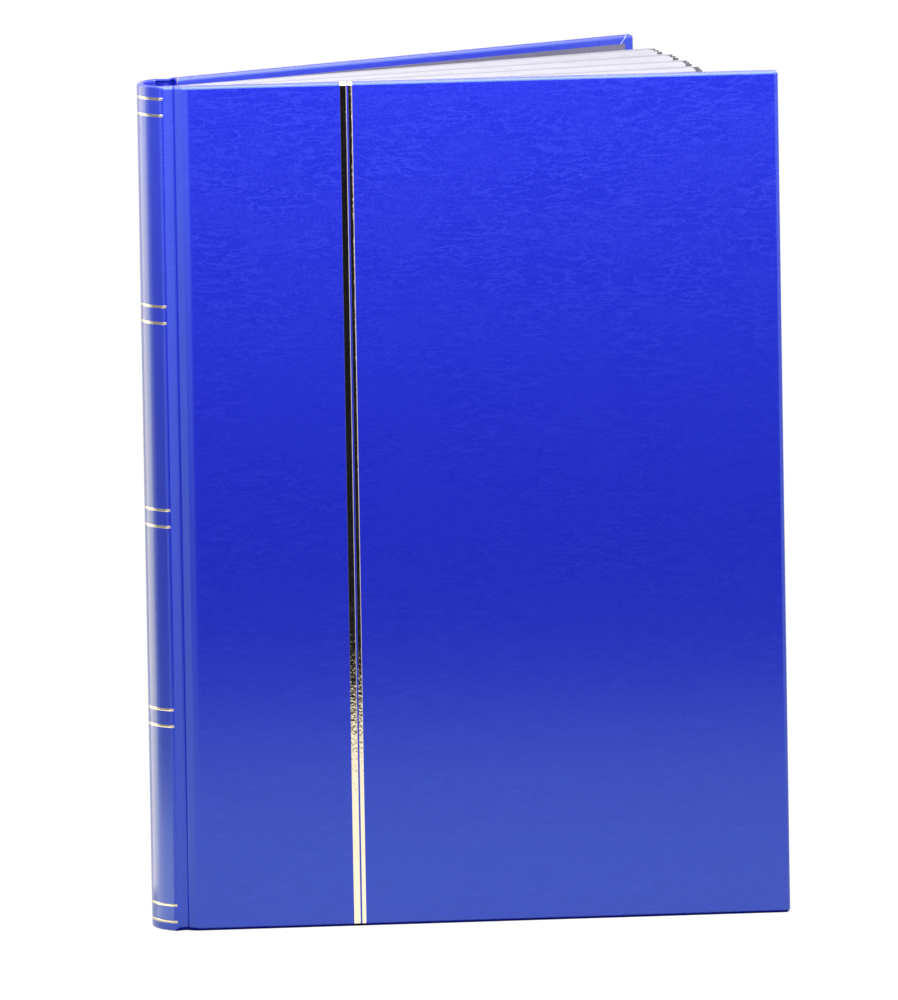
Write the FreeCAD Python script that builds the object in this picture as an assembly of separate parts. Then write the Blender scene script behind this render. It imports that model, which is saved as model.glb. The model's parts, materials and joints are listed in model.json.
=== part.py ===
import FreeCAD, Part
import math
import os

# A stamp album: a case-bound stock book that stands on its lower edges, with the back cover swung open
# and the leaves fanned between the covers. Millimetres, Z up. X runs from the spine to the fore edge,
# and the front cover faces -Y. Everything is drawn shut, and then turned about its own hinge.

# Covers
cover_height = 305.0
cover_width = 222.5  # from the spine's ridge to the fore edge
board_thickness = 2.5
skin_thickness = 0.5  # leatherette
turn_in_width = 15.0
pastedown_thickness = 0.3
pastedown_head_margin = 3.2
pastedown_fore_margin = 4.8
pastedown_joint_margin = 1.5

# Spine and the grooves beside it
spine_bulge = 7.0
ridge_recess = 1.5  # from a cover's outer face down to the ridge
ridge_width = 2.0
groove_width = 8.5  # from the ridge to the cover's straight face
groove_centre = 4.2  # from the ridge to the hinge line
groove_radius = 1.5
hinge_depth = 1.2  # from a cover's outer face down to the hinge line
board_edge_gap = 0.3
lining_thickness = 1.0
lining_setback = 2.5  # from the ridge strips to the lining's long edges
spine_turn_in = 12.0

# Leaf block
leaf_count = 16
head_square = 2.4  # from the covers' head and tail in to the hindmost glassine
fore_square = 7.0  # from the covers' fore edge in to the last leaf
card_thickness = 0.5
card_drop = 0.65  # from the glassine's head and tail in to the card
glassine_thickness = 0.08
glassine_pair_gap = 0.04
glassine_setback = 2.8  # from the leaves' fore edge
leaf_clearance = 0.24
leaf_trim = 0.85  # how much shorter each leaf is than the one behind it
leaf_sag = 0.13  # how much lower each leaf hangs than the one behind it
leaf_hinge_line = 6.0  # from the ridge to the hinges of the first and last leaf
block_rounding = 0.5
backing_thickness = 2.0
backing_clearance = 0.4
linen_thickness = 0.3
linen_width = 15.0
linen_bead_radius = 0.25

# Film strips, glued along the foot and both ends
film_thickness = 0.1
pocket_gap = 0.1
strip_height = 28.0
strip_spacing = 4.4
strip_foot_margin = 3.0
strip_end_margin = 3.0
strip_seam = 1.5

# Gold foil
foil_thickness = 0.05
wide_stripe_place = 64.3  # from the ridge
wide_stripe_width = 2.5
stripe_gap = 0.45
narrow_stripe_width = 1.6
spine_line_height = 1.1
spine_line_pitch = 6.0
spine_line_setback = 0.3
spine_line_pairs = 5
spine_line_foot = 6.4  # from the tail to the middle of the lowest pair
spine_line_head = 7.6
spine_line_growth = 1.3  # how much taller each gap is than the one below it

# How far it stands open
back_open_angle = 33.3
first_leaf_share = 0.165  # of the back cover's angle
last_leaf_share = 0.817
clump_size = 3  # leaves that cling together
clump_gap = 2.4  # the step from clump to clump, in steps from leaf to leaf

# Worked out
leaf_thickness = card_thickness + 2 * (pocket_gap + film_thickness)
glassine_pair = 2 * glassine_thickness + glassine_pair_gap
leaf_pitch = leaf_thickness + glassine_pair + 2 * leaf_clearance
block_half = leaf_count * leaf_pitch / 2
cover_stack = 2 * skin_thickness + board_thickness + pastedown_thickness
half = block_half + cover_stack  # from the middle to a cover's outer face, shut
first_leaf_y = block_half - leaf_pitch / 2
hinge_y = half - hinge_depth
ridge_y = half - ridge_recess
spine_radius = (ridge_y**2 + spine_bulge**2) / (2 * spine_bulge)
spine_centre = spine_radius - spine_bulge
lining_y = ridge_y - skin_thickness - lining_setback
lining_radius = spine_radius - skin_thickness
linen_depth = 2 * skin_thickness + board_thickness - hinge_depth  # from a cover's hinge line inwards
backing_y = hinge_y - linen_depth - linen_thickness
card_foot = head_square + card_drop
card_height = cover_height - 2 * card_foot
last_leaf_reach = cover_width - fore_square - leaf_hinge_line  # from its hinge to its fore edge
fan_steps = leaf_count - 1 + (clump_gap - 1) * ((leaf_count - 1) // clump_size)
board_start = groove_width + board_edge_gap
pastedown_start = groove_width + pastedown_joint_margin
upright = FreeCAD.Vector(0, 0, 1)


def box(x0, x1, y0, y1, z0, z1):
    low = FreeCAD.Vector(min(x0, x1), min(y0, y1), min(z0, z1))
    return Part.makeBox(abs(x1 - x0), abs(y1 - y0), abs(z1 - z0), low)


def upright_solid(start, steps, z0, z1):
    # a step is a point to draw a line to, or a pair of points to draw an arc through and to
    edges = []
    here = FreeCAD.Vector(*start, z0)
    for step in steps + [start]:
        if isinstance(step[0], tuple):
            through, there = (FreeCAD.Vector(*point, z0) for point in step)
            edges.append(Part.Arc(here, through, there).toShape())
        else:
            there = FreeCAD.Vector(*step, z0)
            edges.append(Part.makeLine(here, there))
        here = there
    return Part.Face(Part.Wire(edges)).extrude(upright * (z1 - z0))


def turned(shape, pivot, degrees):
    shape = shape.copy()
    shape.rotate(FreeCAD.Vector(*pivot, 0), upright, degrees)
    return shape


def spine_band(outer, inner, y_end, z0, z1):
    # a stretch of the rounded spine between two radii
    def end(radius, y):
        return spine_centre - math.sqrt(radius**2 - y**2), y

    steps = [
        ((spine_centre - outer, 0), end(outer, y_end)),
        end(inner, y_end),
        ((spine_centre - inner, 0), end(inner, -y_end)),
    ]
    return upright_solid(end(outer, -y_end), steps, z0, z1)


def make_spine_skin():
    inside_y = ridge_y - skin_thickness
    inside_x = spine_centre - math.sqrt(lining_radius**2 - inside_y**2)
    steps = [
        (0, -ridge_y),
        ((-spine_bulge, 0), (0, ridge_y)),
        (ridge_width, ridge_y),
        (ridge_width, inside_y),
        (inside_x, inside_y),
        ((skin_thickness - spine_bulge, 0), (inside_x, -inside_y)),
        (ridge_width, -inside_y),
    ]
    skin = upright_solid((ridge_width, -ridge_y), steps, 0, cover_height)
    turn_in_outside = lining_radius - lining_thickness
    turn_in_inside = turn_in_outside - skin_thickness
    for edge, inwards in ((0, 1), (cover_height, -1)):
        cap_end = edge + inwards * skin_thickness
        flap_end = edge + inwards * spine_turn_in
        cap = spine_band(lining_radius, turn_in_inside, lining_y, min(edge, cap_end), max(edge, cap_end))
        flap_levels = sorted((cap_end, flap_end))
        flap = spine_band(turn_in_outside, turn_in_inside, lining_y, *flap_levels)
        skin = skin.fuse(cap).fuse(flap)
    return skin.removeSplitter()


def make_spine_lining():
    inner = lining_radius - lining_thickness
    return spine_band(lining_radius, inner, lining_y, skin_thickness, cover_height - skin_thickness)


def make_spine_gold_lines():
    gaps = spine_line_pairs - 1
    grown = spine_line_growth * gaps * (gaps - 1) / 2
    lowest_gap = (cover_height - spine_line_foot - spine_line_head - grown) / gaps
    outer = spine_radius + foil_thickness
    y_end = ridge_y - spine_line_setback
    lines = []
    for pair in range(spine_line_pairs):
        middle = spine_line_foot + pair * lowest_gap + spine_line_growth * pair * (pair - 1) / 2
        for way in (-0.5, 0.5):
            foot = middle + way * spine_line_pitch - spine_line_height / 2
            lines.append(spine_band(outer, spine_radius, y_end, foot, foot + spine_line_height))
    return Part.makeCompound(lines)


def groove_place(side, u, v, open_angle):
    # u runs from a cover's hinge line along the cover and v runs inwards; side is -1 in front, 1 at the back
    turn = math.radians(open_angle)
    along = u * math.cos(turn) + v * math.sin(turn)
    inwards = v * math.cos(turn) - u * math.sin(turn)
    return groove_centre + along, side * (hinge_y - inwards)


def groove_arc(side, radius, start, end):
    # the point through which an arc passes and its end, about a cover's hinge line
    def place(angle):
        return groove_place(side, radius * math.cos(angle), radius * math.sin(angle), 0)

    return place((start + end) / 2), place(end)


def make_cover_joint(side, open_angle):
    # leatherette from the ridge through the groove and up to the board's edge
    inner_radius = groove_radius + skin_thickness
    ridge_v = ridge_recess - hinge_depth
    ridge_u = ridge_width - groove_centre
    edge_u = groove_width - groove_centre
    edge_v = -hinge_depth
    slope = math.atan2(edge_v, edge_u) + math.acos(groove_radius / math.hypot(edge_u, edge_v))
    slope_end = slope - math.radians(open_angle)
    outer_start = math.pi - math.asin(ridge_v / groove_radius)
    inner_start = math.pi - math.asin((ridge_v + skin_thickness) / inner_radius)
    inner_edge_v = (inner_radius - edge_u * math.cos(slope)) / math.sin(slope)

    def arc_start(radius, angle):
        return groove_place(side, radius * math.cos(angle), radius * math.sin(angle), 0)

    steps = [
        arc_start(groove_radius, outer_start),
        groove_arc(side, groove_radius, outer_start, slope_end),
        groove_place(side, edge_u, edge_v, open_angle),
        groove_place(side, edge_u, inner_edge_v, open_angle),
        arc_start(inner_radius, slope_end),
        groove_arc(side, inner_radius, slope_end, inner_start),
        groove_place(side, ridge_u, ridge_v + skin_thickness, 0),
    ]
    return upright_solid(groove_place(side, ridge_u, ridge_v, 0), steps, 0, cover_height)


def make_cover_linen(side, open_angle):
    # the hinge that holds the block: along the backing, round the cover's hinge line, to the pastedown
    start_u = leaf_hinge_line - backing_clearance - backing_thickness - groove_centre
    end_u = pastedown_start - groove_centre
    outer = linen_depth + linen_thickness
    straight_up = math.pi / 2
    bent = straight_up - math.radians(open_angle)
    foot = groove_place(side, start_u, linen_depth, 0)
    if open_angle:
        out = [groove_place(side, 0, linen_depth, 0), groove_arc(side, linen_depth, straight_up, bent)]
        back = [groove_place(side, 0, outer, open_angle), groove_arc(side, outer, bent, straight_up)]
    else:
        out = []
        back = []
    ends = [groove_place(side, end_u, v, open_angle) for v in (linen_depth, outer)]
    steps = out + ends + back + [groove_place(side, start_u, outer, 0)]
    return upright_solid(foot, steps, card_foot, cover_height - card_foot)


def make_cover(side):
    # a cover lying shut: its board, its turned-in skin and its pastedown
    outside = side * half
    board_out = side * (half - skin_thickness)
    board_in = side * (half - skin_thickness - board_thickness)
    skin_in = side * (half - 2 * skin_thickness - board_thickness)
    paper_in = side * (half - cover_stack)
    board_end = cover_width - skin_thickness
    board_top = cover_height - skin_thickness
    board = box(board_start, board_end, board_out, board_in, skin_thickness, board_top)
    window_end = cover_width - turn_in_width
    window_top = cover_height - turn_in_width
    skin = box(groove_width, cover_width, outside, skin_in, 0, cover_height)
    skin = skin.cut(box(groove_width, board_end, board_out, board_in, skin_thickness, board_top))
    skin = skin.cut(box(groove_width, window_end, board_in, skin_in, turn_in_width, window_top))
    skin = skin.cut(box(groove_width, board_start, board_out, skin_in, 0, cover_height))
    paper_end = cover_width - pastedown_fore_margin
    paper_top = cover_height - pastedown_head_margin
    paper = box(pastedown_start, paper_end, skin_in, paper_in, pastedown_head_margin, paper_top)
    bedded = box(pastedown_start, window_end, board_in, skin_in, turn_in_width, window_top)
    return board, skin, paper.fuse(bedded).removeSplitter()


def make_front_gold_stripes():
    narrow_place = wide_stripe_place + wide_stripe_width + stripe_gap
    stripes = []
    for place, width in ((wide_stripe_place, wide_stripe_width), (narrow_place, narrow_stripe_width)):
        stripes.append(box(place, place + width, -half - foil_thickness, -half, 0, cover_height))
    return Part.makeCompound(stripes)


def hinge_x(y):
    # the leaf hinges follow the rounded back of the block
    return leaf_hinge_line - block_rounding * (1 - (y / first_leaf_y) ** 2)


def leaf_y(number):
    return (number - 1) * leaf_pitch - first_leaf_y


def leaf_reach(number):
    return last_leaf_reach - leaf_trim * (leaf_count - number)


def leaf_drop(number):
    return leaf_sag * (leaf_count - number)


def fan_share(number):
    # a whole number is a leaf, and a half is the interleaf that lies in front of the next leaf
    next_leaf = math.ceil(number)
    clumps_behind = (leaf_count - next_leaf) // clump_size
    steps = leaf_count - number + (clump_gap - 1) * clumps_behind
    return last_leaf_share - (last_leaf_share - first_leaf_share) * steps / fan_steps


def make_block_backing():
    inside = leaf_hinge_line - backing_clearance
    inside_middle = inside - block_rounding
    steps = [
        ((inside_middle, 0), (inside, backing_y)),
        (inside - backing_thickness, backing_y),
        ((inside_middle - backing_thickness, 0), (inside - backing_thickness, -backing_y)),
    ]
    return upright_solid((inside, -backing_y), steps, head_square, cover_height - head_square)


def make_leaf_linen(number, backing):
    # from the backing to a bead on the leaf's hinge line, and on to the card's edge
    y = leaf_y(number)
    pivot = (hinge_x(y), y)
    foot = card_foot - leaf_drop(number)
    top = foot + card_height
    side = linen_thickness / 2
    root_start = pivot[0] - backing_clearance - backing_thickness / 2
    root = box(root_start, pivot[0], y - side, y + side, foot, top)
    bead = Part.makeCylinder(linen_bead_radius, card_height, FreeCAD.Vector(*pivot, foot), upright)
    tape = box(pivot[0], pivot[0] + linen_width, y - side, y + side, foot, top)
    tape = turned(tape, pivot, fan_share(number) * back_open_angle)
    return root.cut(backing).fuse(bead).fuse(tape).removeSplitter()


def make_card(number):
    y = leaf_y(number)
    pivot = (hinge_x(y), y)
    side = card_thickness / 2
    foot = card_foot - leaf_drop(number)
    fore_edge = pivot[0] + leaf_reach(number)
    card = box(pivot[0] + linen_width, fore_edge, y - side, y + side, foot, foot + card_height)
    return turned(card, pivot, fan_share(number) * back_open_angle)


def make_strips(number):
    # rows of pockets on both pages of a leaf, each open at its top
    y = leaf_y(number)
    pivot = (hinge_x(y), y)
    start = pivot[0] + linen_width + strip_end_margin
    end = pivot[0] + leaf_reach(number) - strip_end_margin
    lowest = card_foot - leaf_drop(number) + strip_foot_margin
    rows = int((card_height - strip_foot_margin + strip_spacing) / (strip_height + strip_spacing))
    strips = []
    for face in (-1, 1):
        glued = y + face * card_thickness / 2
        film = glued + face * pocket_gap
        outside = film + face * film_thickness
        for row in range(rows):
            foot = lowest + row * (strip_height + strip_spacing)
            top = foot + strip_height
            pocket = box(start + strip_seam, end - strip_seam, glued, film, foot + strip_seam, top)
            strip = box(start, end, glued, outside, foot, top).cut(pocket)
            strips.append(turned(strip, pivot, fan_share(number) * back_open_angle))
    return Part.makeCompound(strips)


def make_interleaf(number):
    # a glassine sheet between a leaf and the next, folded double round its hinge line
    y = leaf_y(number + 0.5)
    x = hinge_x(y)
    inside = glassine_pair_gap / 2
    outside = glassine_pair / 2
    end = x + leaf_reach(number + 0.5) - glassine_setback
    foot = head_square - leaf_drop(number + 0.5)
    steps = [
        (x, y - outside),
        ((x - outside, y), (x, y + outside)),
        (end, y + outside),
        (end, y + inside),
        (x, y + inside),
        ((x - inside, y), (x, y - inside)),
        (end, y - inside),
    ]
    sheet = upright_solid((end, y - outside), steps, foot, foot + cover_height - 2 * head_square)
    return turned(sheet, (x, y), fan_share(number + 0.5) * back_open_angle)


back_hinge = (groove_centre, hinge_y)
front_hinge = (groove_centre, -hinge_y)
backing = make_block_backing()
hinges = [make_leaf_linen(number, backing) for number in range(1, leaf_count + 1)]
hinges += [make_cover_linen(-1, 0), make_cover_linen(1, back_open_angle)]
front_board, front_skin, front_pastedown = make_cover(-1)
swung_back = [turned(shape, back_hinge, back_open_angle) for shape in make_cover(1)]
back_board, back_skin, back_pastedown = swung_back

nodes = {
    "spine_skin": make_spine_skin(),
    "spine_lining": make_spine_lining(),
    "spine_gold_lines": make_spine_gold_lines(),
    "cover_joints": Part.makeCompound([make_cover_joint(-1, 0), make_cover_joint(1, back_open_angle)]),
    "block_backing": backing,
    "linen_hinges": Part.makeCompound(hinges),
    "front_board": front_board,
    "front_skin": front_skin,
    "front_pastedown": front_pastedown,
    "front_gold_stripes": make_front_gold_stripes(),
    "back_board": back_board,
    "back_skin": back_skin,
    "back_pastedown": back_pastedown,
}
for number in range(1, leaf_count + 1):
    nodes[f"leaf_{number:02d}_card"] = make_card(number)
    nodes[f"leaf_{number:02d}_strips"] = make_strips(number)
for number in range(1, leaf_count):
    nodes[f"interleaf_{number:02d}"] = make_interleaf(number)

# The origin is the middle of the space it takes up, on the surface that it stands on
space = Part.makeCompound(list(nodes.values())).optimalBoundingBox(False, False)
to_origin = FreeCAD.Vector(-space.Center.x, -space.Center.y, -space.ZMin)
os.makedirs("parts", exist_ok=True)
for name, shape in nodes.items():
    shape.translate(to_origin)
    shape.exportStep(f"parts/{name}.step")
print(f"{len(nodes)} nodes, {space.XLength:.2f} x {space.YLength:.2f} x {space.ZLength:.2f} mm")
print(f"{2 * half:.2f} mm thick when shut, leaves {leaf_pitch:.2f} mm apart")
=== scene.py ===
import bpy
import bmesh
import json
import math
from mathutils import Matrix, Vector


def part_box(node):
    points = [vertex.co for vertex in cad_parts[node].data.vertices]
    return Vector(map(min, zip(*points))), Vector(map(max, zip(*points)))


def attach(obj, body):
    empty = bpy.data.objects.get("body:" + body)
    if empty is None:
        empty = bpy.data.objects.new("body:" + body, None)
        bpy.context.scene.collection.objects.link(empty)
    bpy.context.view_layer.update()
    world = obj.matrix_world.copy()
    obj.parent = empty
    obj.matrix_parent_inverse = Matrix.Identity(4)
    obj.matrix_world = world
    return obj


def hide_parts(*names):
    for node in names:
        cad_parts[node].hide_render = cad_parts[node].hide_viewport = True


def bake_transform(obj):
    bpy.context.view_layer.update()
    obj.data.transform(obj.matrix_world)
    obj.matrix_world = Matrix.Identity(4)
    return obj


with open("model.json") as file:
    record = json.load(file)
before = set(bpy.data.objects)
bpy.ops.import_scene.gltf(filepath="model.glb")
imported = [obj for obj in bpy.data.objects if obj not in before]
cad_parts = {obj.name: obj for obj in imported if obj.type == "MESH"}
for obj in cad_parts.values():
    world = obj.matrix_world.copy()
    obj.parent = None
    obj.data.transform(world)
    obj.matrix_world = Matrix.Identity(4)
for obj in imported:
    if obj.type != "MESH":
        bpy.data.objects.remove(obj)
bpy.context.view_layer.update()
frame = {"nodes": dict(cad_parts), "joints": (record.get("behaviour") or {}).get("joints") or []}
scene = bpy.context.scene
scene.view_settings.view_transform = "Standard"
mm = 0.001

# where the album's own lines are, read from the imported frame
joints = {joint["name"]: joint for joint in frame["joints"]}
hingeFromRidge = 4.2 * mm  # from the spine's ridge to a cover's hinge line


def hingeLine(jointName):
    return Vector(joints[jointName]["pos_m"])


def standsOpen(jointName):  # angle from shut to how it stands
    return -math.radians(joints[jointName]["range_deg"][0])


frontHinge = hingeLine("front_cover_hinge")
backHinge = hingeLine("back_cover_hinge")
skinLow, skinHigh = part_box("front_skin")
middleY = (frontHinge.y + backHinge.y) / 2
outerY = skinLow.y  # front cover's outer face
headZ = skinHigh.z
ridgeX = frontHinge.x - hingeFromRidge
leafCount = sum(name.endswith("_card") for name in frame["nodes"])
print("frame loaded:", len(frame["nodes"]), "nodes,", leafCount, "leaves")

noiseSpan = (0.3, 0.7)  # most of a noise's values lie between these
noiseMiddle = 0.5


def newMaterial(name):
    material = bpy.data.materials.new(name)
    material.use_nodes = True
    return material, material.node_tree, material.node_tree.nodes["Principled BSDF"]


def addNode(tree, kind, inputs=None, **settings):
    node = tree.nodes.new(kind)
    for key, value in settings.items():
        setattr(node, key, value)
    for key, value in (inputs or {}).items():
        if isinstance(value, bpy.types.NodeSocket):
            tree.links.new(value, node.inputs[key])
        else:
            node.inputs[key].default_value = value
    return node


def objectPoint(tree, stretch=(1, 1, 1)):
    coords = addNode(tree, "ShaderNodeTexCoord").outputs["Object"]
    return addNode(tree, "ShaderNodeMapping", {"Vector": coords, "Scale": stretch}).outputs[0]


def heightAbove(tree):  # above the floor, in metres
    return addNode(tree, "ShaderNodeSeparateXYZ", {0: objectPoint(tree)}).outputs["Z"]


def noise(tree, size, stretch=(1, 1, 1), detail=2.0, distortion=0.0):  # size of a blotch, in metres
    inputs = {"Vector": objectPoint(tree, stretch), "Scale": 1 / size}
    inputs.update({"Detail": detail, "Distortion": distortion})
    return addNode(tree, "ShaderNodeTexNoise", inputs).outputs["Fac"]


def spread(tree, value, low, high, toLow=0.0, toHigh=1.0):
    inputs = {"Value": value, "From Min": low, "From Max": high, "To Min": toLow, "To Max": toHigh}
    return addNode(tree, "ShaderNodeMapRange", inputs, interpolation_type="SMOOTHSTEP").outputs[0]


def patchy(tree, size, low, high):  # a soft change from patch to patch
    return spread(tree, noise(tree, size), *noiseSpan, low, high)


def maths(tree, operation, first, second=0.0):
    return addNode(tree, "ShaderNodeMath", {0: first, 1: second}, operation=operation).outputs[0]


def shaded(colour, share):
    return tuple(share * part for part in colour)


def twoTones(tree, value, dark, light):
    ramp = addNode(tree, "ShaderNodeValToRGB", {"Fac": value})
    ramp.color_ramp.elements[0].color = (*dark, 1)
    ramp.color_ramp.elements[1].color = (*light, 1)
    return ramp.outputs["Color"]


def bump(tree, height, distance, normal=None):
    inputs = {"Height": height, "Distance": distance, "Strength": 1.0}
    if normal:
        inputs["Normal"] = normal
    return addNode(tree, "ShaderNodeBump", inputs).outputs["Normal"]


def feed(tree, shader, **patterns):
    for key, pattern in patterns.items():
        tree.links.new(pattern, shader.inputs[key.replace("_", " ")])


def setShader(shader, **values):
    for key, value in values.items():
        shader.inputs[key.replace("_", " ")].default_value = value


leatherette = {
    "deepBlue": (0.0040, 0.0090, 0.545), "paleBlue": (0.0310, 0.0440, 0.690), "sheen": (0.62, 1.0, 0.92, 1),
    "crease": 2.4 * mm, "creaseStretch": (0.24, 1, 1), "creaseBend": 0.5, "creaseWidth": 0.06,
    # the crease lines are lighter than the grain around them: partly wear, partly a painted highlight on
    # their ridges
    "creaseTone": (0.65, -0.35), "creaseHeight": 0.004 * mm,
    "patch": 22 * mm, "patchStretch": (1, 1, 1.6), "patchSpan": (0.35, 0.6), "patchShare": (0.16, 0.48),
    "pebble": 0.65 * mm, "pebbleHeight": 0.003 * mm, "glossPatch": 2 * mm,
    "grainLightFrom": 0.18, "grainLightTo": 0.28, "footGrainShare": 0.42,  # painted light: the grain's light and dark tone, and its bump, grow towards the head, where the top lamp grazes it
    "topLightFrom": 0.12, "topLightTone": (0.36, 0.66),  # painted light: the blue is paler towards the head, where the top lamp lights it
}


def makeLeatherette(name, smooth, dull, grained):
    look = leatherette
    material, tree, shader = newMaterial(name)
    height = heightAbove(tree)
    # painted light: a mask that grows towards the head, where the top lamp grazes the grain
    grainByTopLight = spread(tree, height, look["grainLightFrom"], look["grainLightTo"], grained * look["footGrainShare"], grained)
    patches = noise(tree, look["patch"], look["patchStretch"])
    patches = spread(tree, patches, *look["patchSpan"], *look["patchShare"])
    folds = noise(tree, look["crease"], look["creaseStretch"], distortion=look["creaseBend"])
    folds = maths(tree, "ABSOLUTE", maths(tree, "SUBTRACT", folds, noiseMiddle))
    creases = spread(tree, folds, 0.0, look["creaseWidth"], *look["creaseTone"])
    creases = maths(tree, "MULTIPLY", maths(tree, "MULTIPLY", creases, patches), grainByTopLight)
    pebbles = maths(tree, "SUBTRACT", noise(tree, look["pebble"], detail=1.0), noiseMiddle)
    pebbles = maths(tree, "MULTIPLY", pebbles, grainByTopLight)
    # painted light: the base colour turns paler towards the head
    paintedTopLight = spread(tree, height, look["topLightFrom"], headZ, *look["topLightTone"])
    grain = maths(tree, "ADD", maths(tree, "ADD", creases, pebbles), paintedTopLight)
    normal = bump(tree, creases, look["creaseHeight"])
    normal = bump(tree, pebbles, look["pebbleHeight"], normal)
    feed(tree, shader, Base_Color=twoTones(tree, grain, look["deepBlue"], look["paleBlue"]),
         Roughness=patchy(tree, look["glossPatch"], smooth, dull), Normal=normal)
    setShader(shader, IOR=1.5, Specular_IOR_Level=1.0, Specular_Tint=look["sheen"])
    return material


foil = {"paleGold": (0.98, 0.90, 0.68), "warmGold": (0.94, 0.80, 0.54), "tonePatch": 20 * mm,
        "roughness": (0.04, 0.08), "glossPatch": 3 * mm,
        "wrinkle": 0.8 * mm, "wrinkleStretch": (1, 1, 0.7), "wrinkleBend": 0.3,
        "crumpled": 0.032 * mm, "drawnTight": 0.008 * mm, "spineShade": 0.60}


def makeFoil(name, wrinkleHeight, share):
    material, tree, shader = newMaterial(name)
    wrinkles = noise(tree, foil["wrinkle"], foil["wrinkleStretch"], distortion=foil["wrinkleBend"])
    warm, pale = shaded(foil["warmGold"], share), shaded(foil["paleGold"], share)
    feed(tree, shader, Base_Color=twoTones(tree, noise(tree, foil["tonePatch"]), warm, pale),
         Roughness=patchy(tree, foil["glossPatch"], *foil["roughness"]),
         Normal=bump(tree, wrinkles, wrinkleHeight))
    setShader(shader, Metallic=1.0)
    return material


glassine = {"thinAndShaded": (0.22, 0.22, 0.29), "thick": (0.80, 0.79, 0.88), "alpha": 0.80,
            "edgeFrom": 0.36 * mm, "edgeTo": 0.14 * mm, "edgeTone": (0.1, 0.75),  # painted shade: darker below the top edge, where the sheets shade each other
            "cloud": 6 * mm, "cloudStretch": (1, 1, 0.4), "cloudShare": 0.5,
            "roughness": (0.32, 0.48), "glossPatch": 4 * mm, "wave": 22 * mm, "waveHeight": 0.2 * mm,
            "shade": 0.80, "clump": 3}  # painted shade: the sheet that closes each clump of leaves is darker, standing in for the shade in the gap between clumps


def makeGlassine(name, share):
    look = glassine
    material, tree, shader = newMaterial(name)
    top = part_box("interleaf_01")[1].z
    # painted shade: the sheet darkens below its top edge; the cloud is the paper's own uneven tone
    pale = spread(tree, heightAbove(tree), top - look["edgeFrom"], top - look["edgeTo"], *look["edgeTone"])
    cloud = noise(tree, look["cloud"], look["cloudStretch"], detail=5.0)
    cloud = maths(tree, "MULTIPLY", cloud, look["cloudShare"])
    thinAndShaded, thick = shaded(look["thinAndShaded"], share), shaded(look["thick"], share)
    feed(tree, shader, Base_Color=twoTones(tree, maths(tree, "ADD", cloud, pale), thinAndShaded, thick),
         Roughness=patchy(tree, look["glossPatch"], *look["roughness"]),
         Normal=bump(tree, noise(tree, look["wave"], detail=3.0), look["waveHeight"]))
    setShader(shader, Alpha=look["alpha"])
    return material


papers = {  # dark and light flecks, size of a fibre, roughness, height of a fibre
    "endpaper": ((0.150, 0.148, 0.225), (0.19, 0.185, 0.275), 0.5 * mm, 0.55, 0.008 * mm),
    "grey_board": ((0.34, 0.32, 0.30), (0.52, 0.50, 0.46), 1.6 * mm, 0.85, 0.05 * mm),
    "black_card": ((0.10, 0.095, 0.115), (0.16, 0.15, 0.18), 0.7 * mm, 0.6, 0.015 * mm),
    # the glue paper's blue tint is a painted reflection of the blue leatherette around the hollow spine
    "glue_paper": ((0.05, 0.055, 0.16), (0.09, 0.095, 0.24), 1.2 * mm, 0.75, 0.04 * mm),
    "cut_edge": ((0.30, 0.40, 0.80), (0.44, 0.54, 0.90), 0.5 * mm, 0.5, 0.02 * mm),
}
flecks = {"stretch": (1, 1, 0.35), "bend": 0.8, "glossPatch": 8 * mm, "smoother": 0.08, "duller": 0.06}


def makePaper(name, dark, light, fibre, rough, height):  # board, card and paper: flecked and matt
    material, tree, shader = newMaterial(name)
    fibres = noise(tree, fibre, flecks["stretch"], detail=6.0, distortion=flecks["bend"])
    feed(tree, shader, Base_Color=twoTones(tree, spread(tree, fibres, *noiseSpan), dark, light),
         Roughness=patchy(tree, flecks["glossPatch"], rough - flecks["smoother"], rough + flecks["duller"]),
         Normal=bump(tree, fibres, height))
    return material


film = {"tint": (0.90, 0.91, 0.93), "haze": (0.97, 0.97, 0.98), "tonePatch": 30 * mm, "alpha": 0.16,
        "roughness": (0.05, 0.12), "glossPatch": 12 * mm, "wave": 40 * mm, "waveHeight": 0.3 * mm}


def makeFilm():
    material, tree, shader = newMaterial("clear_film")
    feed(tree, shader, Base_Color=twoTones(tree, noise(tree, film["tonePatch"]), film["tint"], film["haze"]),
         Roughness=patchy(tree, film["glossPatch"], *film["roughness"]),
         Normal=bump(tree, noise(tree, film["wave"], detail=1.0), film["waveHeight"]))
    setShader(shader, Alpha=film["alpha"])
    return material


linen = {"thread": 0.7 * mm, "dark": (0.018, 0.018, 0.02), "light": (0.07, 0.07, 0.078), "height": 0.12 * mm,
         "uneven": 1.2, "unevenScale": 0.4, "roughness": (0.75, 0.9), "glossPatch": 3 * mm,
         "waveTurn": 20}  # a wave texture's radians per unit


def makeLinen():
    material, tree, shader = newMaterial("woven_linen")
    inputs = {"Vector": objectPoint(tree), "Scale": 2 * math.pi / linen["waveTurn"] / linen["thread"],
              "Distortion": linen["uneven"], "Detail Scale": linen["unevenScale"]}
    warp, weft = (addNode(tree, "ShaderNodeTexWave", inputs, bands_direction=way) for way in "XZ")
    weave = maths(tree, "MAXIMUM", warp.outputs["Fac"], weft.outputs["Fac"])
    feed(tree, shader, Base_Color=twoTones(tree, weave, linen["dark"], linen["light"]),
         Roughness=patchy(tree, linen["glossPatch"], *linen["roughness"]),
         Normal=bump(tree, weave, linen["height"]))
    return material


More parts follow.
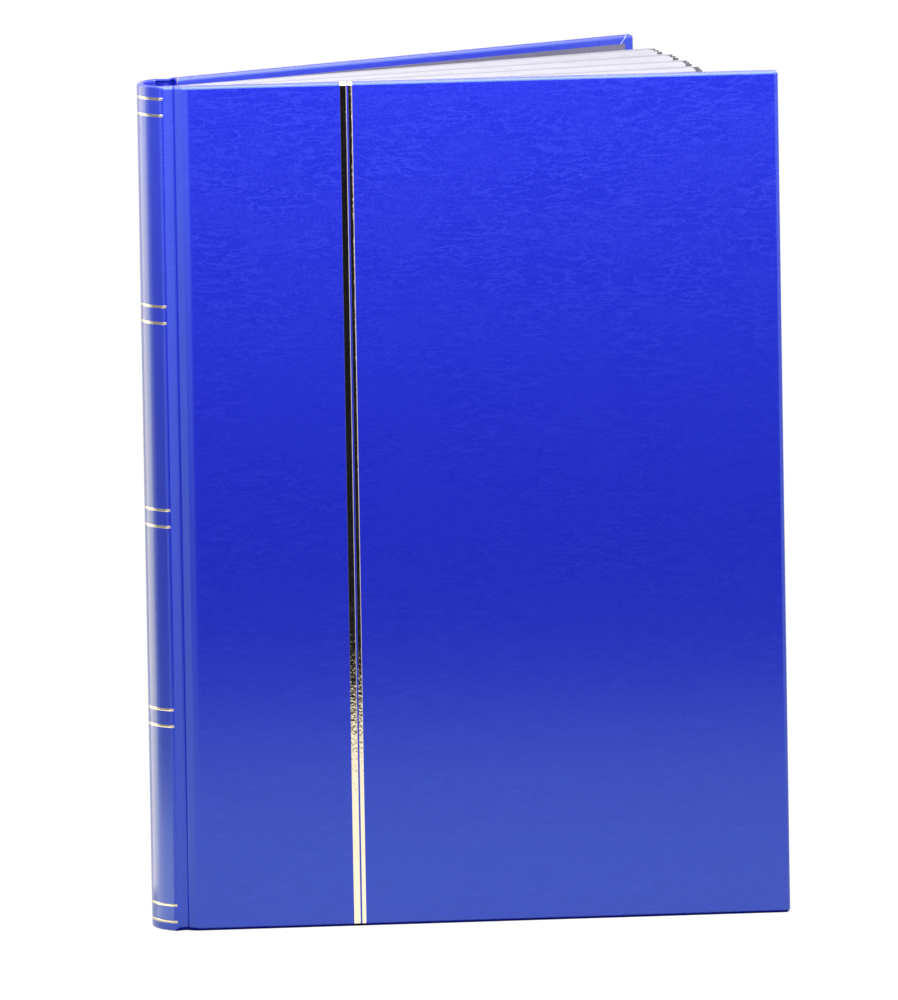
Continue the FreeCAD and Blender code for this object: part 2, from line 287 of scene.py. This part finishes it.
leatherSkin = makeLeatherette("blue_leatherette", smooth=0.17, dull=0.20, grained=1.0)
leatherSpine = makeLeatherette("blue_leatherette_drawn_tight", smooth=0.17, dull=0.20, grained=0.4)
leatherTurnIn = makeLeatherette("blue_leatherette_turned_in", smooth=0.38, dull=0.48, grained=0.6)
goldFoil = makeFoil("stamped_gold_foil", foil["crumpled"], share=1.0)
# painted shade: the spine's lines use a darker copy of the foil, so their reflections come out dimmer
goldFoilSpine = makeFoil("stamped_gold_foil_shaded", foil["drawnTight"], share=foil["spineShade"])
glassineSheet = makeGlassine("glassine_paper", share=1.0)
glassineShaded = makeGlassine("glassine_paper_shaded", share=glassine["shade"])
clearFilm = makeFilm()
linenTape = makeLinen()
paper = {name: makePaper(name, *values) for name, values in papers.items()}
print("finishes made:", len(bpy.data.materials))

meshing = {"mergeWithin": 1e-7, "sharpFrom": math.radians(38), "foldFrom": 1.0}  # angles in radians


def makePiece(bm, name, *materials):
    bmesh.ops.remove_doubles(bm, verts=bm.verts[:], dist=meshing["mergeWithin"])
    for face in bm.faces:
        face.smooth = True
    mesh = bpy.data.meshes.new(name)
    bm.to_mesh(mesh)
    bm.free()
    mesh.set_sharp_from_angle(angle=meshing["sharpFrom"])
    for material in materials:
        mesh.materials.append(material)
    piece = bpy.data.objects.new(name, mesh)
    scene.collection.objects.link(piece)
    evened = piece.modifiers.new("Even shading", "WEIGHTED_NORMAL")
    evened.keep_sharp = True
    return piece


def edgesOf(geom):
    return [item for item in geom if isinstance(item, bmesh.types.BMEdge)]


def vertsOf(geom):
    return [item for item in geom if isinstance(item, bmesh.types.BMVert)]


def wire(bm, points, closed=False):
    verts = [bm.verts.new(point) for point in points]
    ends = verts[1:] + verts[:1] if closed else verts[1:]
    return verts, [bm.edges.new(pair) for pair in zip(verts, ends)]


def extrudeEdges(bm, edges, move):  # returns the moved vertices and the edges between them
    geom = bmesh.ops.extrude_edge_only(bm, edges=edges)["geom"]
    verts = vertsOf(geom)
    bmesh.ops.translate(bm, vec=move, verts=verts)
    return verts, [edge for edge in edgesOf(geom) if all(vert in verts for vert in edge.verts)]


def roundOff(bm, geom, offset, segments, affect="EDGES"):
    bmesh.ops.bevel(bm, geom=geom, offset=offset, offset_type="OFFSET", segments=segments, profile=0.5,
                    affect=affect, material=-1, clamp_overlap=True)


def newBlock(bm, low, high):
    size = Vector(high) - Vector(low)
    place = Matrix.Translation((Vector(low) + Vector(high)) / 2) @ Matrix.Diagonal((*size, 1))
    bmesh.ops.create_cube(bm, size=1, matrix=place)


def fillEnds(bm):
    rims = [edge for edge in bm.edges if len(edge.link_faces) == 1]
    bmesh.ops.holes_fill(bm, edges=rims, sides=0)
    bmesh.ops.recalc_face_normals(bm, faces=bm.faces[:])


def turnAbout(point, angle):
    return Matrix.Translation(point) @ Matrix.Rotation(angle, 4, "Z") @ Matrix.Translation(-point)


def bendUpright(bm, hinge, angle, bendFrom, bendTo):  # turns what lies past an upright line
    for vert in bm.verts:
        share = min(max((vert.co.x - bendFrom) / (bendTo - bendFrom), 0), 1)
        vert.co = turnAbout(hinge, angle * share * share * (3 - 2 * share)) @ vert.co


def mirrorToBack(bm):  # from the front cover's side to the back cover's, shut
    flip = Matrix.Translation((0, 2 * middleY, 0)) @ Matrix.Diagonal((1, -1, 1, 1))
    bmesh.ops.transform(bm, matrix=flip, verts=bm.verts[:])
    bmesh.ops.reverse_faces(bm, faces=bm.faces[:])


cover = {"skin": 0.5 * mm, "turnIn": 15 * mm, "edgeRadius": 1.6 * mm, "edgeSegments": 6,
         "mitreFromFore": 3.7 * mm, "mitreFromEnd": 0.3 * mm, "mitreLength": 6.1 * mm,
         "mitreWidth": 0.42 * mm, "mitreRise": 0.12 * mm, "mitreRounding": 0.1 * mm, "mitreCuts": 11,
         "mitreLean": math.radians(45)}
turnInSlot, mitreSlot = 1, 2  # a cover's materials, after its outer skin's


def mitredFold(foot):  # at a fore corner, following the cover's rounded edge
    bm = bmesh.new()
    half = Vector((cover["mitreLength"] / 2, cover["mitreRise"], cover["mitreWidth"] / 2))
    newBlock(bm, -half, half)
    along = [edge for edge in bm.edges if abs(edge.verts[0].co.x - edge.verts[1].co.x) > half.x]
    bmesh.ops.subdivide_edges(bm, edges=along, cuts=cover["mitreCuts"], use_grid_fill=True)
    bm.normal_update()
    upper = [edge for edge in bm.edges if min(vert.co.y for vert in edge.verts) > 0]
    rim = [edge for edge in upper if edge.calc_face_angle() > meshing["foldFrom"]]
    roundOff(bm, rim, cover["mitreRounding"], segments=2)
    for face in bm.faces:
        face.material_index = mitreSlot
    reach = half.x * math.cos(cover["mitreLean"])
    fromEnd = cover["mitreFromEnd"] + reach
    middleZ = fromEnd if foot else headZ - fromEnd
    corner = Vector((skinHigh.x - cover["mitreFromFore"] - reach, skinHigh.y, middleZ))
    lean = Matrix.Rotation(cover["mitreLean"] if foot else -cover["mitreLean"], 4, "Y")
    bmesh.ops.transform(bm, matrix=Matrix.Translation(corner) @ lean, verts=bm.verts[:])
    radius = cover["edgeRadius"]
    for vert in bm.verts:
        past = max(radius - (vert.co.z if foot else headZ - vert.co.z), 0)
        vert.co.y -= radius - math.sqrt(max(radius ** 2 - past ** 2, 0))
    mesh = bpy.data.meshes.new("mitred_fold")
    bm.to_mesh(mesh)
    bm.free()
    return mesh


def coverLeatherette(name, back):
    bm = bmesh.new()
    newBlock(bm, skinLow, skinHigh)
    inside = max(bm.faces, key=lambda face: face.calc_center_median().y)
    turnIns = bmesh.ops.inset_region(bm, faces=[inside], thickness=cover["turnIn"], use_boundary=True,
                                     use_even_offset=True)["faces"]
    for face in turnIns:
        face.material_index = turnInSlot
    bmesh.ops.delete(bm, geom=[inside], context="FACES_ONLY")
    inner = [edge for edge in bm.edges if len(edge.link_faces) == 2]
    folds = [edge for edge in inner if edge.calc_face_angle() > meshing["foldFrom"]]
    roundOff(bm, folds, cover["edgeRadius"], cover["edgeSegments"])
    bmesh.ops.recalc_face_normals(bm, faces=bm.faces[:])
    bmesh.ops.solidify(bm, geom=bm.faces[:], thickness=cover["skin"])
    for foot in (True, False):
        fold = mitredFold(foot)
        bm.from_mesh(fold)
        bpy.data.meshes.remove(fold)
    if back:
        mirrorToBack(bm)
        swing = turnAbout(backHinge, standsOpen("back_cover_hinge"))
        bmesh.ops.transform(bm, matrix=swing, verts=bm.verts[:])
    piece = makePiece(bm, name, leatherSkin, leatherTurnIn, paper["cut_edge"])
    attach(piece, "back_cover" if back else "front_cover")
    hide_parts("back_skin" if back else "front_skin")


groove = {  # across the joint, from the ridge: (along, depth below the cover's face), in mm
    "profile": [(0.5, 1.48), (1.0, 1.5), (2.9, 2.05), (4.15, 2.52), (4.55, 2.52), (5.1, 1.65), (7.7, 0.27),
                (9.0, 0.06), (9.8, 0.0), (10.65, -0.01)],
    "rounding": 0.2 * mm, "shoulder": 0.5 * mm, "shoulderPoints": 4, "skin": 0.6 * mm,
    "bendFrom": 2.9 * mm, "bendTo": 5.6 * mm,
}


def rolledEnds():  # (inset, height) from foot to head: the joint rolls in at both ends, like the covers
    radius, segments = cover["edgeRadius"], cover["edgeSegments"]
    turns = [math.pi / 2 * step / segments for step in range(segments + 1)]
    foot = [(radius * (1 - math.sin(turn)), radius * (1 - math.cos(turn))) for turn in turns]
    return foot + [(inset, headZ - z) for inset, z in reversed(foot)]


def jointLeatherette(name, back):
    bm = bmesh.new()
    (inset, z), *rings = rolledEnds()
    points = [(ridgeX + along * mm, outerY + depth * mm + inset, z) for along, depth in groove["profile"]]
    verts = wire(bm, points)[0]
    shoulder = groove["shoulderPoints"]
    roundOff(bm, verts[-shoulder:-1], groove["shoulder"], segments=4, affect="VERTICES")
    roundOff(bm, verts[1:-shoulder], groove["rounding"], segments=3, affect="VERTICES")
    edges = bm.edges[:]
    for nextInset, nextZ in rings:
        edges = extrudeEdges(bm, edges, (0, nextInset - inset, nextZ - z))[1]
        inset, z = nextInset, nextZ
    bmesh.ops.recalc_face_normals(bm, faces=bm.faces[:])
    if sum(face.normal.y for face in bm.faces) > 0:
        bmesh.ops.reverse_faces(bm, faces=bm.faces[:])
    bmesh.ops.solidify(bm, geom=bm.faces[:], thickness=groove["skin"])
    hinge = backHinge if back else frontHinge
    bendFrom, bendTo = ridgeX + groove["bendFrom"], ridgeX + groove["bendTo"]
    start, end = Vector((bendFrom, hinge.y, 0)), Vector((bendTo, hinge.y, 0))
    if back:
        angle = standsOpen("back_cover_hinge")
        mirrorToBack(bm)
        bendUpright(bm, hinge, angle, bendFrom, bendTo)
        end = turnAbout(hinge, angle) @ end
    piece = makePiece(bm, name, leatherSpine)
    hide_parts("cover_joints")
    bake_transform(piece)


spine = {"bulge": 7.0 * mm, "ridgeRecess": 1.5 * mm, "ridgeWidth": 1.0 * mm, "skin": 0.45 * mm,
         "wall": 2.0 * mm, "flap": 12 * mm, "capRounding": 0.96 * mm, "steps": 56, "ridgeSteps": 5,
         "ridgeRounding": 2.15 * mm}  # more than the wall, or the wall would turn inside out
ridgeY = middleY - outerY - spine["ridgeRecess"]  # from the middle to a ridge
spineRadius = (ridgeY ** 2 + spine["bulge"] ** 2) / (2 * spine["bulge"])
spineAxis = Vector((ridgeX + spineRadius - spine["bulge"], middleY, 0))
roundingY = ridgeY - spine["ridgeRounding"]  # the middle of a ridge's rounding, from the axis
roundingX = math.sqrt((spineRadius - spine["ridgeRounding"]) ** 2 - roundingY ** 2)
spineSweep = 2 * math.atan2(roundingY, roundingX)


def atSpine(radius, z):  # where the front ridge's rounding starts
    return spineAxis + Vector((-radius * math.cos(spineSweep / 2), -radius * math.sin(spineSweep / 2), z))


def spinRound(bm, first):  # from that line round the spine, and over both ridges
    turned = bmesh.ops.spin(bm, geom=first, cent=spineAxis, axis=(0, 0, 1), angle=-spineSweep,
                            steps=spine["steps"], use_duplicate=False)
    ends = []
    for geom, way in ((first, -1), (turned["geom_last"], 1)):
        middle = spineAxis + Vector((-roundingX, way * roundingY, 0))
        over = bmesh.ops.spin(bm, geom=geom, cent=middle, axis=(0, 0, 1),
                              angle=-way * (math.pi - spineSweep) / 2, steps=spine["ridgeSteps"],
                              use_duplicate=False)
        ends.append(over["geom_last"])
    return ends


def spineLeatherette():
    bm = bmesh.new()
    inner, flap = spineRadius - spine["wall"], spine["flap"]
    path = [(inner, flap), (inner, 0), (spineRadius, 0),
            (spineRadius, headZ), (inner, headZ), (inner, headZ - flap)]
    verts = wire(bm, [atSpine(radius, z) for radius, z in path])[0]
    roundOff(bm, verts[1:-1], spine["capRounding"], segments=4, affect="VERTICES")
    ridgeReach = ridgeX + spine["ridgeWidth"] - (spineAxis.x - roundingX)
    for end in spinRound(bm, bm.verts[:] + bm.edges[:]):
        extrudeEdges(bm, edgesOf(end), (ridgeReach, 0, 0))
    bmesh.ops.recalc_face_normals(bm, faces=bm.faces[:])
    outermost = min(bm.faces, key=lambda face: face.calc_center_median().x)
    if outermost.normal.x > 0:
        bmesh.ops.reverse_faces(bm, faces=bm.faces[:])
    bmesh.ops.solidify(bm, geom=bm.faces[:], thickness=spine["skin"])
    piece = makePiece(bm, "spine_leatherette", leatherSpine)
    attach(piece, "spine")
    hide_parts("spine_skin")


spineLines = {"height": 1.1 * mm, "pitch": 6.0 * mm, "pairs": 5, "foot": 6.4 * mm, "head": 7.6 * mm,
              "growth": 1.3 * mm, "rise": 0.06 * mm, "sunk": 0.05 * mm, "flank": 0.18 * mm}


def spineFoilLines():
    bm = bmesh.new()
    look = spineLines
    gaps = look["pairs"] - 1
    lowestGap = (headZ - look["foot"] - look["head"] - look["growth"] * gaps * (gaps - 1) / 2) / gaps
    under, over = spineRadius - look["sunk"], spineRadius + look["rise"]
    for pair in range(look["pairs"]):
        middle = look["foot"] + pair * lowestGap + look["growth"] * pair * (pair - 1) / 2
        for way in (-0.5, 0.5):
            low = middle + way * look["pitch"] - look["height"] / 2
            high = low + look["height"]
            section = [(under, low), (over, low + look["flank"]),
                       (over, high - look["flank"]), (under, high)]
            verts, edges = wire(bm, [atSpine(radius, z) for radius, z in section], closed=True)
            spinRound(bm, verts + edges)
    fillEnds(bm)
    piece = makePiece(bm, "spine_foil_lines", goldFoilSpine)
    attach(piece, "spine")
    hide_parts("spine_gold_lines")


stripes = {"wide": (64.3 * mm, 2.5 * mm), "narrow": (67.25 * mm, 1.6 * mm),  # from the ridge, and width
           "rise": 0.09 * mm, "sunk": 0.05 * mm, "leftFlank": 0.10 * mm, "rightFlank": 0.28 * mm,
           "rollOver": math.radians(75), "rollSteps": 5}


def frontFoilStripes():
    bm = bmesh.new()
    radius = cover["edgeRadius"]
    foilY, underY = outerY - stripes["rise"], outerY + stripes["sunk"]
    for start, width in (stripes["wide"], stripes["narrow"]):
        left, right = ridgeX + start, ridgeX + start + width
        section = [(left, underY), (left + stripes["leftFlank"], foilY),
                   (right - stripes["rightFlank"], foilY), (right, underY)]
        verts, edges = wire(bm, [(x, y, radius) for x, y in section], closed=True)
        headVerts, headEdges = extrudeEdges(bm, edges, (0, 0, headZ - 2 * radius))
        for geom, z, way in ((verts + edges, radius, 1), (headVerts + headEdges, headZ - radius, -1)):
            bmesh.ops.spin(bm, geom=geom, cent=(left, outerY + radius, z), axis=(1, 0, 0),
                           angle=way * stripes["rollOver"], steps=stripes["rollSteps"], use_duplicate=False)
    fillEnds(bm)
    piece = makePiece(bm, "front_foil_stripes", goldFoil)
    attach(piece, "front_cover")
    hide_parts("front_gold_stripes")


tapes = {"thickness": 0.10 * mm, "root": 1.35 * mm, "width": 15 * mm, "bend": 0.6 * mm, "cuts": 27,
         "coverFrom": -0.6 * mm, "coverTo": 5.8 * mm, "coverDepth": 2.3 * mm, "coverBend": 2.6 * mm}


def newTape(low, high):
    bm = bmesh.new()
    newBlock(bm, low, high)
    along = [edge for edge in bm.edges if abs(edge.verts[0].co.x - edge.verts[1].co.x) > tapes["thickness"]]
    bmesh.ops.subdivide_edges(bm, edges=along, cuts=tapes["cuts"], use_grid_fill=True)
    return bm


def finishTape(bm, name, hinge, angle, bend):
    bendUpright(bm, hinge, angle, hinge.x - bend, hinge.x + bend)
    piece = makePiece(bm, name, linenTape)
    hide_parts("linen_hinges")
    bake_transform(piece)


def leafTape(number):
    leaf = f"leaf_{number:02d}"
    hinge, angle = hingeLine(leaf + "_hinge"), standsOpen(leaf + "_hinge")
    low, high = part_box(leaf + "_card")
    side = tapes["thickness"] / 2
    bm = newTape((hinge.x - tapes["root"], hinge.y - side, low.z),
                 (hinge.x + tapes["width"], hinge.y + side, high.z))
    finishTape(bm, leaf + "_linen", hinge, angle, tapes["bend"])


def coverTape(body, hinge, inwards, angle):
    low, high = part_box("leaf_01_card")
    near = hinge.y + inwards * tapes["coverDepth"]
    far = near + inwards * tapes["thickness"]
    bm = newTape((hinge.x + tapes["coverFrom"], min(near, far), low.z),
                 (hinge.x + tapes["coverTo"], max(near, far), high.z))
    finishTape(bm, body + "_linen", hinge, angle, tapes["coverBend"])


coverLeatherette("front_cover_leatherette", back=False)
coverLeatherette("back_cover_leatherette", back=True)
jointLeatherette("front_joint_leatherette", back=False)
jointLeatherette("back_joint_leatherette", back=True)
spineLeatherette()
print("case covered")
spineFoilLines()
frontFoilStripes()
print("foil stamped")
for number in range(1, leafCount + 1):
    leafTape(number)
coverTape("front_cover", frontHinge, inwards=1, angle=0.0)
coverTape("back_cover", backHinge, inwards=-1, angle=standsOpen("back_cover_hinge"))
print("linen hinges set")

dressing = {"front_board": paper["grey_board"], "back_board": paper["grey_board"],
            "spine_lining": paper["grey_board"], "block_backing": paper["glue_paper"],
            "front_pastedown": paper["endpaper"], "back_pastedown": paper["endpaper"]}
for name in frame["nodes"]:
    if name.endswith("_card"):
        dressing[name] = paper["black_card"]
    elif name.endswith("_strips"):
        dressing[name] = clearFilm
    elif name.startswith("interleaf"):
        closes = int(name[-2:]) % glassine["clump"] == 0
        dressing[name] = glassineShaded if closes else glassineSheet
for name, material in dressing.items():
    node = frame["nodes"][name]
    node.data.materials.clear()
    node.data.materials.append(material)
print("leaves and boards finished:", len(dressing))


def stagePiece(bm, name, material):
    mesh = bpy.data.meshes.new(name)
    bm.to_mesh(mesh)
    bm.free()
    mesh.materials.append(material)
    piece = bpy.data.objects.new(name, mesh)
    scene.collection.objects.link(piece)
    return piece


def seenDirectly(tree):  # 1 for camera, mirror and glass rays
    path = addNode(tree, "ShaderNodeLightPath")
    rays = maths(tree, "MAXIMUM", path.outputs["Is Camera Ray"], path.outputs["Is Glossy Ray"])
    return maths(tree, "MAXIMUM", rays, path.outputs["Is Transmission Ray"])


floor = {"left": -0.62, "front": -0.645, "far": 6.0, "thickness": 0.01,
         "colour": (0.60, 0.60, 0.60, 1), "glow": 0.92, "shadowShare": (0.20, 0.20, 0.20, 1)}


def makeFloor():
    bm = bmesh.new()
    newBlock(bm, (floor["left"], floor["front"], -floor["thickness"]), (floor["far"], floor["far"], 0))
    material, tree = newMaterial("pale_floor")[:2]
    tree.nodes.clear()
    plain = addNode(tree, "ShaderNodeBsdfDiffuse", {"Color": floor["colour"]})
    shadowed = addNode(tree, "ShaderNodeBsdfDiffuse", {"Color": floor["shadowShare"]})
    glow = addNode(tree, "ShaderNodeEmission", {"Strength": floor["glow"]})
    seen = addNode(tree, "ShaderNodeAddShader", {0: shadowed.outputs[0], 1: glow.outputs[0]})
    inputs = {0: seenDirectly(tree), 1: plain.outputs[0], 2: seen.outputs[0]}
    either = addNode(tree, "ShaderNodeMixShader", inputs)
    addNode(tree, "ShaderNodeOutputMaterial", {"Surface": either.outputs[0]})
    stagePiece(bm, "floor", material)


# what the album mirrors: cards that lie in front of the floor's edge, or between two directions from the
# spine, in degrees. Those with a height also have a card that stands at their far side
cards = {
    "front": {"near": (-0.14, 0.28), "far": (-0.15, 0.62), "farY": -2.3, "height": 0.9,
              "glow": (0.010, 0.011, 0.016)},
    "near_left": {"near": (-0.55, -0.14), "far": (-1.7, -0.15), "farY": -2.0, "glow": (0.4, 0.4, 0.4)},
    "left": {"from": -108, "to": -66, "near": 0.52, "far": 2.3, "height": 0.8, "glow": (0.5, 0.5, 0.5)},
    "rim": {"from": -150, "to": -118, "near": 0.1, "far": 0.5, "height": 0.6, "glow": (3.4, 2.9, 2.3)},
    "foot": {"from": -125, "to": -50, "near": 0.03, "far": 0.4, "glow": (2.4, 2.2, 2.2)},
}
cardLift = 0.5 * mm  # off the floor
# a glowing card above the album that only mirrors see: it paints a highlight along the rounded head edges
headCard = {"left": -0.4, "right": 0.6, "front": -0.5, "back": 0.3, "z": 0.75, "glow": (6.0, 4.2, 4.2)}
spineFlag = {"from": -120, "to": -60, "distance": 0.13, "z": 0.09, "height": 0.17}
contactShade = {"before": 0.8 * mm, "behind": 4 * mm, "z": 0.15 * mm}
unlit = (0, 0, 0)


def makeCard(name, points, glow, mirrored=True, shades=False):  # is mirrored, or keeps soft light off
    bm = bmesh.new()
    bm.faces.new([bm.verts.new(point) for point in points])
    material, tree, shader = newMaterial(name)
    setShader(shader, Base_Color=(0, 0, 0, 1), Specular_IOR_Level=0.0, Emission_Color=(*glow, 1),
              Emission_Strength=1.0)
    card = stagePiece(bm, name, material)
    card.visible_camera = card.visible_transmission = card.visible_shadow = False
    card.visible_glossy, card.visible_diffuse = mirrored, shades


def beside(azimuth, distance, z=cardLift):  # from the spine, turned from straight in front
    turn = math.radians(azimuth)
    return ridgeX + distance * math.sin(turn), middleY - distance * math.cos(turn), z


def standing(low, height):  # a card's corners, from its lower edge
    return [*low, *((x, y, z + height) for x, y, z in reversed(low))]


def inFront(card):
    (nearLeft, nearRight), (farLeft, farRight) = card["near"], card["far"]
    return [(nearLeft, floor["front"], 0), (farLeft, card["farY"], 0),
            (farRight, card["farY"], 0), (nearRight, floor["front"], 0)]


def between(card):
    return [beside(card["from"], card["near"]), beside(card["from"], card["far"]),
            beside(card["to"], card["far"]), beside(card["to"], card["near"])]


def level(left, right, front, back, z):
    return [(left, front, z), (right, front, z), (right, back, z), (left, back, z)]


def makeCards():
    for name, card in cards.items():
        corners = inFront(card) if "farY" in card else between(card)
        makeCard(name + "_card", corners, card["glow"])
        if "height" in card:
            makeCard(name + "_far_card", standing(corners[1:3], card["height"]), card["glow"])
    sides = (headCard[key] for key in ("left", "right", "front", "back", "z"))
    makeCard("head_card", level(*sides), headCard["glow"])
    low = [beside(spineFlag[key], spineFlag["distance"], spineFlag["z"]) for key in ("from", "to")]
    makeCard("spine_flag", standing(low, spineFlag["height"]), unlit, mirrored=False, shades=True)
    footLine = level(ridgeX, skinHigh.x, outerY - contactShade["before"], outerY + contactShade["behind"],
                     contactShade["z"])
    makeCard("contact_shade", footLine, unlit, shades=True)


topLamp = {"place": (0.02, -0.20, 0.46), "aim": (0.0, -0.06, 0.20), "size": (0.8, 0.30), "watts": 2.4}


def makeLamp(name, place, aim, size, watts):
    lamp = bpy.data.lights.new(name, "AREA")
    lamp.shape = "RECTANGLE"
    lamp.size, lamp.size_y = size
    lamp.energy = watts
    holder = bpy.data.objects.new(name, lamp)
    holder.location = place
    holder.rotation_euler = (Vector(aim) - Vector(place)).to_track_quat("-Z", "Y").to_euler()
    holder.visible_camera = False
    scene.collection.objects.link(holder)


sky = {"light": 0.49, "mirrored": 1.1}


def makeWorld():
    world = bpy.data.worlds.new("white_studio")
    world.use_nodes = True
    tree = world.node_tree
    mirrored = addNode(tree, "ShaderNodeLightPath").outputs["Is Glossy Ray"]
    light = maths(tree, "MAXIMUM", seenDirectly(tree), maths(tree, "MULTIPLY", mirrored, sky["mirrored"]))
    light = maths(tree, "MAXIMUM", light, sky["light"])
    tree.links.new(light, tree.nodes["Background"].inputs["Strength"])
    tree.nodes["Background"].inputs["Color"].default_value = (1, 1, 1, 1)
    scene.world = world


makeFloor()
makeCards()
makeLamp("top_lamp", **topLamp)
makeWorld()
print("studio lit")

view = {"yaw": 5.97, "pitch": 6.80, "roll": 0.97, "distance": 7.2522, "lens": 720, "seesTo": 40,
        "fromHinge": (0.10482, 0.07374, 0.14436)}  # the point it looks at, from the front cover's hinge line


def makeCamera():
    lens = bpy.data.cameras.new("camera")
    lens.lens = view["lens"]
    lens.clip_end = view["seesTo"]
    camera = bpy.data.objects.new("camera", lens)
    yaw, pitch, roll = (math.radians(view[key]) for key in ("yaw", "pitch", "roll"))
    target = frontHinge + Vector(view["fromHinge"])
    camera.matrix_world = (Matrix.Translation(target) @ Matrix.Rotation(-yaw, 4, "Z")
                           @ Matrix.Rotation(math.pi / 2 - pitch, 4, "X") @ Matrix.Rotation(-roll, 4, "Z")
                           @ Matrix.Translation((0, 0, view["distance"])))
    scene.collection.objects.link(camera)
    scene.camera = camera


makeCamera()
